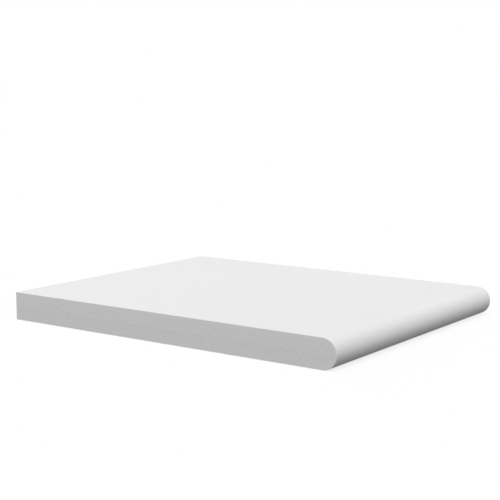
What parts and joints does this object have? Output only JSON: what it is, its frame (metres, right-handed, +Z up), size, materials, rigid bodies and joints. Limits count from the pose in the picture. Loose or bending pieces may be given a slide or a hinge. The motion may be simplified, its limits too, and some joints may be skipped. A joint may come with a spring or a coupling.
{
  "type": "window sill board",
  "caption": "Short flat window sill board in white-primed fibreboard with a full half-round nose on its front edge, square back and sawn ends.",
  "frame": {"origin": "middle of the board's footprint, on its underside: half way between the back edge and the tip of the nose, and half way between the sawn ends", "axes": "+X along the board's length, -Y to the front where the half-round nose points into the room, +Y to the back edge that meets the window frame, +Z up out of the top face"},
  "size_m": [0.195, 0.244, 0.018],
  "materials": {
    "white_primed_board": "matte"
  },
  "bodies": {
    "root": {"sill_board": "white_primed_board"}
  },
  "joints": []
}
